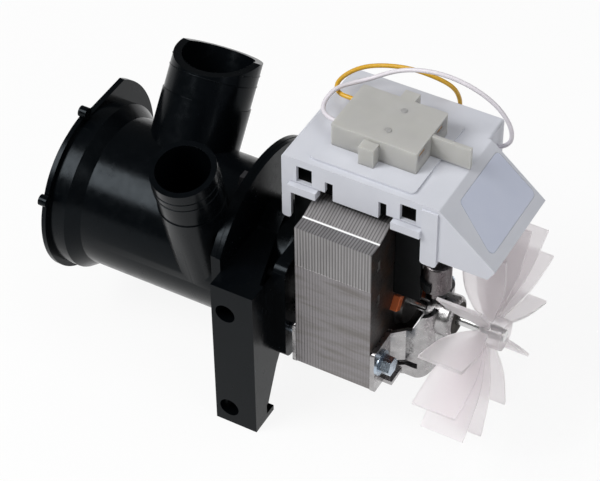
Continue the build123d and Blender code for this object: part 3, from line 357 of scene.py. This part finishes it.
def laminated(name):
    """Stamped sheets seen edge on, with outer faces painted dark as painted shade and a painted highlight
    along one crest.
    """
    # painted highlight: near-white colour without metal, put on the crest in place of the light it catches
    painted_highlight_white, metallic = (0.97, 0.97, 0.97), 0.8
    smoothest, roughest, gloss_size = 0.32, 0.5, 0.8 * mm
    shade = Shade(name)
    lines = sheet_lines(shade)
    flat = flatness(shade)
    crest = crest_highlight(shade, flat)
    # painted shade on the two flat faces, mixed in by the flatness mask
    tone = shade.colours(flat, sheet_edges(shade, lines), shaded_outer_sheet(shade))
    # the painted highlight laid over the sheet tones along the crest
    shade.colour(shade.colours(crest, tone, painted_highlight_white))
    # metal turned off under the painted highlight so its white reads as a lit surface
    unhighlighted = shade.calculate("SUBTRACT", 1.0, crest)
    shade.link(shade.calculate("MULTIPLY", unhighlighted, metallic), shade.surface.inputs["Metallic"])
    shade.roughness(shade.noise(gloss_size, detail=4), smoothest, roughest)
    shade.relief(shade.calculate("SUBTRACT", 1.0, lines), gap_depth)
    return shade


moulded_looks = {
    "black_plastic": dict(
        dark=(0.0010, 0.0015, 0.0020), light=(0.0024, 0.0032, 0.0042), rough=0.22,
        Specular_IOR_Level=0.11, Specular_Tint=(0.80, 0.91, 1.0, 1.0)),
    "bobbin_plastic": dict(
        dark=(0.002, 0.003, 0.0035), light=(0.004, 0.005, 0.0058), rough=0.45, Specular_IOR_Level=0.1),
    "cap_plastic": dict(
        dark=(0.002, 0.0028, 0.0033), light=(0.004, 0.005, 0.006), rough=0.3, Specular_IOR_Level=0.15),
    "impeller_plastic": dict(dark=(0.02, 0.02, 0.022), light=(0.032, 0.032, 0.034), rough=0.45),
    "basket_plastic": dict(dark=(0.42, 0.44, 0.47), light=(0.5, 0.52, 0.55), rough=0.45),
    "washer_plastic": dict(dark=(0.45, 0.44, 0.38), light=(0.52, 0.51, 0.46), rough=0.5),
    "white_plastic": dict(
        dark=(0.60, 0.615, 0.67), light=(0.665, 0.68, 0.735), rough=0.46, Specular_IOR_Level=0.4),
    "label_foil": dict(
        dark=(0.57, 0.61, 0.74), light=(0.63, 0.665, 0.78), rough=0.4,
        grain=0.5 * mm, depth=0.004 * mm, Specular_IOR_Level=0.35),
    "milky_plastic": dict(
        dark=(0.57, 0.565, 0.54), light=(0.68, 0.675, 0.645), rough=0.34,
        Subsurface_Weight=0.7, Subsurface_Radius=(1.0, 1.0, 0.9), Subsurface_Scale=4 * mm,
        Transmission_Weight=0.25, IOR=1.3),
    "fan_plastic": dict(
        dark=(0.93, 0.895, 0.91), light=(0.97, 0.945, 0.955), rough=0.38,
        Transmission_Weight=0.76, IOR=1.1),
    "seal_rubber": dict(dark=(0.008, 0.008, 0.008), light=(0.014, 0.014, 0.014), rough=0.65),
    "oiled_felt": dict(
        dark=(0.03, 0.026, 0.022), light=(0.06, 0.052, 0.045), rough=0.85,
        grain=0.25 * mm, depth=0.06 * mm),
    "coil_tape": dict(
        dark=(0.002, 0.0026, 0.003), light=(0.004, 0.0048, 0.0055), rough=0.34,
        grain=1.2 * mm, depth=0.02 * mm, Specular_IOR_Level=0.12),
    "yellow_insulation": dict(dark=(0.66, 0.36, 0.022), light=(0.76, 0.44, 0.040), rough=0.36),
    "white_insulation": dict(dark=(0.72, 0.68, 0.73), light=(0.79, 0.76, 0.80), rough=0.36),
    "copper": dict(dark=(0.72, 0.15, 0.045), light=(0.88, 0.24, 0.09), rough=0.34, Metallic=0.45),
    "terminal_brass": dict(dark=(0.46, 0.24, 0.09), light=(0.60, 0.35, 0.15), rough=0.34, Metallic=0.35),
}
metal_looks = {
    "dark_steel": dict(dark=(0.10, 0.10, 0.11), light=(0.20, 0.20, 0.21), rough=0.36),
    "protector_can": dict(dark=(0.11, 0.10, 0.105), light=(0.20, 0.185, 0.185), rough=0.32),
    "zinc_steel": dict(dark=(0.34, 0.42, 0.52), light=(0.56, 0.63, 0.70), rough=0.28),
    "ground_steel": dict(
        dark=(0.55, 0.55, 0.55), light=(0.66, 0.66, 0.66), rough=0.22,
        grain=0.2 * mm, stretch=(4, 0.4, 0.4)),
    "spring_steel": dict(dark=(0.10, 0.10, 0.11), light=(0.16, 0.16, 0.17), rough=0.4),
    "rotor_steel": dict(
        dark=(0.30, 0.30, 0.30), light=(0.46, 0.45, 0.45), rough=0.35,
        grain=0.4 * mm, stretch=(4, 0.4, 0.4)),
    "copper_wire": dict(dark=(0.55, 0.13, 0.03), light=(0.78, 0.22, 0.06), rough=0.3),
    "bush_bronze": dict(dark=(0.42, 0.27, 0.12), light=(0.55, 0.37, 0.18), rough=0.45),
}
finishes = {name: moulded(name, **look) for name, look in moulded_looks.items()}
finishes.update({name: metal(name, **look) for name, look in metal_looks.items()})
finishes["bracket_steel"] = pressed("bracket_steel")
finishes["lamination_steel"] = laminated("lamination_steel")


def finish_with(piece, name):
    piece.data.materials.clear()
    piece.data.materials.append(finishes[name].material)


for part in frame["record"]["subparts"]:
    finish_with(nodes[part["node"]], part["material_slot"])
finish_with(yellow, "yellow_insulation")
finish_with(white, "white_insulation")


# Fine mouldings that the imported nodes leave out

def place_piece(name, points, faces, slot, smooth=False):
    mesh = bpy.data.meshes.new(name)
    mesh.from_pydata(points, [], faces)
    mesh.update()
    if smooth:
        mesh.shade_smooth()
    piece = bpy.data.objects.new(name, mesh)
    scene.collection.objects.link(piece)
    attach(piece, "pump")
    finish_with(piece, slot)
    return piece


# Raised lines round the nozzles, at distances from the middle of each hose seat

line_radius = 0.24 * mm
line_steps = 96
line_sides = 10
high_line = 4.5 * mm
inlet_low_line = -0.1 * mm
outlet_low_line = 0.5 * mm
inlet_half_angle = 118
full_turn = 360


def nozzle_line(name, seat, along, start=0, end=full_turn):
    """Fine raised ring round a nozzle, or the part of one between two angles from the nozzle's back."""
    radius = mounts[seat]["dims"]["r_mm"] * mm
    axis = Vector(mounts[seat]["axis"])
    side = Vector((1, 0, 0))
    back = axis.cross(side)
    centre = Vector(mounts[seat]["pos_m"]) + along * axis
    closed = end - start == full_turn
    rings = line_steps if closed else line_steps + 1
    points = []
    for step in range(rings):
        turn = radians(start + (end - start) * step / line_steps)
        outward = sin(turn) * side + cos(turn) * back
        for index in range(line_sides):
            bend = 2 * pi * index / line_sides
            reach = radius + line_radius * cos(bend)
            points.append(centre + reach * outward + line_radius * sin(bend) * axis)
    faces = []
    for step in range(line_steps):
        here, there = step * line_sides, (step + 1) % rings * line_sides
        for index in range(line_sides):
            after = (index + 1) % line_sides
            faces.append((here + index, here + after, there + after, there + index))
    if not closed:
        faces.append(tuple(range(line_sides)))
        faces.append(tuple(reversed(range((rings - 1) * line_sides, rings * line_sides))))
    return place_piece(name, points, faces, "black_plastic", smooth=True)


nozzle_line("inlet_line_high", "inlet_spigot", high_line, -inlet_half_angle, inlet_half_angle)
nozzle_line("inlet_line_low", "inlet_spigot", inlet_low_line)
nozzle_line("outlet_line_high", "outlet_spigot", high_line)
nozzle_line("outlet_line_low", "outlet_spigot", outlet_low_line)


# Lips in the connector's mouth, each placed from the end of its wire

lip_near_x = 60.3 * mm
lip_far_x = 60.5 * mm
slot_half_width = 4 * mm
slot_half_height = 2 * mm
slit_low, slit_high = 0.1 * mm, 1.4 * mm
slit_right = 1.2 * mm
near_slit_left, far_slit_left = -3.5 * mm, -3.3 * mm


def corners(left, right, low, high):
    """Corners of a rectangle, going round it once."""
    return [(left, low), (right, low), (right, high), (left, high)]


def slot_lip(name, wire_end, slit_left):
    """Thin frame that narrows a connector slot's mouth down to the receptacle's slit."""
    y, z = wire_end[1] * mm, wire_end[2] * mm
    outer = corners(y - slot_half_width, y + slot_half_width, z - slot_half_height, z + slot_half_height)
    inner = corners(y + slit_left, y + slit_right, z + slit_low, z + slit_high)
    points = [(x, *corner) for x in (lip_near_x, lip_far_x) for corner in outer + inner]
    faces = []
    for index in range(4):
        after = (index + 1) % 4
        faces.append((index, index + 4, after + 4, after))
        faces.append((index + 8, after + 8, after + 12, index + 12))
        faces.append((index, after, after + 8, index + 8))
        faces.append((index + 4, index + 12, after + 12, after + 4))
    return place_piece(name, points, faces, "milky_plastic")


slot_lip("slot_lip_near", white_route[0], near_slit_left)
slot_lip("slot_lip_far", yellow_route[0], far_slit_left)


# Gate marks on the connector's top

mark_radius = 1.4 * mm
mark_height = 0.25 * mm
mark_sink = 0.05 * mm
mark_top_share, mark_rim_share = 0.72, 0.3
mark_steps = 32
connector_top_z = 103.5 * mm
near_mark, far_mark = (44.8 * mm, 50.7 * mm), (45.0 * mm, 63.6 * mm)


def gate_mark(name, middle):
    """Low round mark with a sloped rim: a centre point and three rings of points."""
    x, y = middle
    points = [(x, y, connector_top_z + mark_height)]
    for radius, level in ((mark_radius * mark_top_share, mark_height),
                          (mark_radius, mark_height * mark_rim_share),
                          (mark_radius, -mark_sink)):
        for step in range(mark_steps):
            turn = 2 * pi * step / mark_steps
            points.append((x + radius * cos(turn), y + radius * sin(turn), connector_top_z + level))
    faces = [(0, 1 + step, 1 + (step + 1) % mark_steps) for step in range(mark_steps)]
    for ring in (1, 1 + mark_steps):
        for step in range(mark_steps):
            after = (step + 1) % mark_steps
            faces.append((ring + step, ring + mark_steps + step, ring + mark_steps + after, ring + after))
    faces.append(tuple(reversed(range(1 + 2 * mark_steps, 1 + 3 * mark_steps))))
    return place_piece(name, points, faces, "milky_plastic")


gate_mark("gate_mark_near", near_mark)
gate_mark("gate_mark_far", far_mark)


# Small edge rounds on the moulded and pressed pieces, in millimetres

edge_rounds = {
    "pump_body": 0.8, "filter_cap": 0.3, "motor_carrier": 0.4, "terminal_cover": 0.3, "plug_housing": 0.3,
    "coil_bobbin": 0.25, "stator_core": 0.12, "yoke_core": 0.15, "front_bracket": 0.2,
    "rear_bracket": 0.2, "cooling_fan": 0.12, "joint_screws": 0.12,
    "stack_bolts": 0.15, "impeller": 0.2, "filter_basket": 0.25, "shading_rings": 0.3,
    "rating_label": 0.08, "plug_terminals": 0.1,
}
weld_distance = 0.002 * mm
least_rounded_angle = 32
round_steps = 2


def soften_edges(piece, width):
    """Rounds the edges that bend enough, and lets the broad faces set the shading."""
    weld = piece.modifiers.new("weld", "WELD")
    weld.merge_threshold = weld_distance
    bevel = piece.modifiers.new("bevel", "BEVEL")
    bevel.width = width
    bevel.segments = round_steps
    bevel.limit_method = "ANGLE"
    bevel.angle_limit = radians(least_rounded_angle)
    normals = piece.modifiers.new("normals", "WEIGHTED_NORMAL")
    normals.mode = "FACE_AREA_WITH_ANGLE"
    normals.keep_sharp = True


for name, width in edge_rounds.items():
    soften_edges(nodes[name], width * mm)


# Floor and backdrop

floor_half_size = 4.0
floor_colour = (0.92, 0.92, 0.92)
white_share = 0.9
white_glow = 1.0
sky_light = 0.12
sky_seen = 1.0


def studio_white(name):
    """Pale surface that keeps a soft shadow and reads as white to the camera, gloss and clear pieces."""
    material = bpy.data.materials.new(name)
    material.use_nodes = True
    tree = material.node_tree
    tree.nodes.clear()
    output = tree.nodes.new("ShaderNodeOutputMaterial")
    diffuse = tree.nodes.new("ShaderNodeBsdfDiffuse")
    diffuse.inputs["Color"].default_value = (*floor_colour, 1)
    glow = tree.nodes.new("ShaderNodeEmission")
    glow.inputs["Strength"].default_value = white_glow
    light_path = tree.nodes.new("ShaderNodeLightPath")
    seen = light_path.outputs["Is Camera Ray"]
    for ray in ("Is Glossy Ray", "Is Transmission Ray"):
        either = tree.nodes.new("ShaderNodeMath")
        either.operation = "ADD"
        either.use_clamp = True
        tree.links.new(seen, either.inputs[0])
        tree.links.new(light_path.outputs[ray], either.inputs[1])
        seen = either.outputs[0]
    part = tree.nodes.new("ShaderNodeMath")
    part.operation = "MULTIPLY"
    part.inputs[1].default_value = white_share
    tree.links.new(seen, part.inputs[0])
    mix = tree.nodes.new("ShaderNodeMixShader")
    tree.links.new(part.outputs[0], mix.inputs[0])
    tree.links.new(diffuse.outputs[0], mix.inputs[1])
    tree.links.new(glow.outputs[0], mix.inputs[2])
    tree.links.new(mix.outputs[0], output.inputs["Surface"])
    return material


def lay_floor():
    """Large flat floor under the lowest point of the pump."""
    mesh = bpy.data.meshes.new("floor")
    shape = bmesh.new()
    bmesh.ops.create_grid(shape, x_segments=1, y_segments=1, size=floor_half_size)
    shape.to_mesh(mesh)
    shape.free()
    floor = bpy.data.objects.new("floor", mesh)
    floor.location.z = cad_low.z
    scene.collection.objects.link(floor)
    mesh.materials.append(studio_white("floor_white"))


def light_sky():
    """Even white sky that lights the pump weakly and reads as white to the camera."""
    world = bpy.data.worlds.new("studio")
    scene.world = world
    world.use_nodes = True
    tree = world.node_tree
    back = tree.nodes["Background"]
    back.inputs["Color"].default_value = (1, 1, 1, 1)
    path = tree.nodes.new("ShaderNodeLightPath")
    level = tree.nodes.new("ShaderNodeMapRange")
    level.inputs["To Min"].default_value = sky_light
    level.inputs["To Max"].default_value = sky_seen
    tree.links.new(path.outputs["Is Camera Ray"], level.inputs["Value"])
    tree.links.new(level.outputs[0], back.inputs["Strength"])


lay_floor()
light_sky()


# Lamps

lamps = {
    "key": dict(place=(-0.66, -0.74, 1.13), side=0.75, power=17.5),
    "top": dict(place=(0.25, 0.15, 1.45), side=0.9, power=5.5),
    "side": dict(place=(1.25, -0.35, 0.6), side=0.9, power=4.0),
}


def soft_lamp(name, place, side, power):
    """Square lamp that points at the middle of the pump."""
    data = bpy.data.lights.new(name, "AREA")
    data.size = side
    data.energy = power
    lamp = bpy.data.objects.new(name, data)
    lamp.location = place
    lamp.rotation_mode = "QUATERNION"
    lamp.rotation_quaternion = ((cad_low + cad_high) / 2 - Vector(place)).to_track_quat("-Z", "Y")
    scene.collection.objects.link(lamp)


for name, lamp in lamps.items():
    soft_lamp(name, **lamp)

scene.view_settings.view_transform = "Standard"
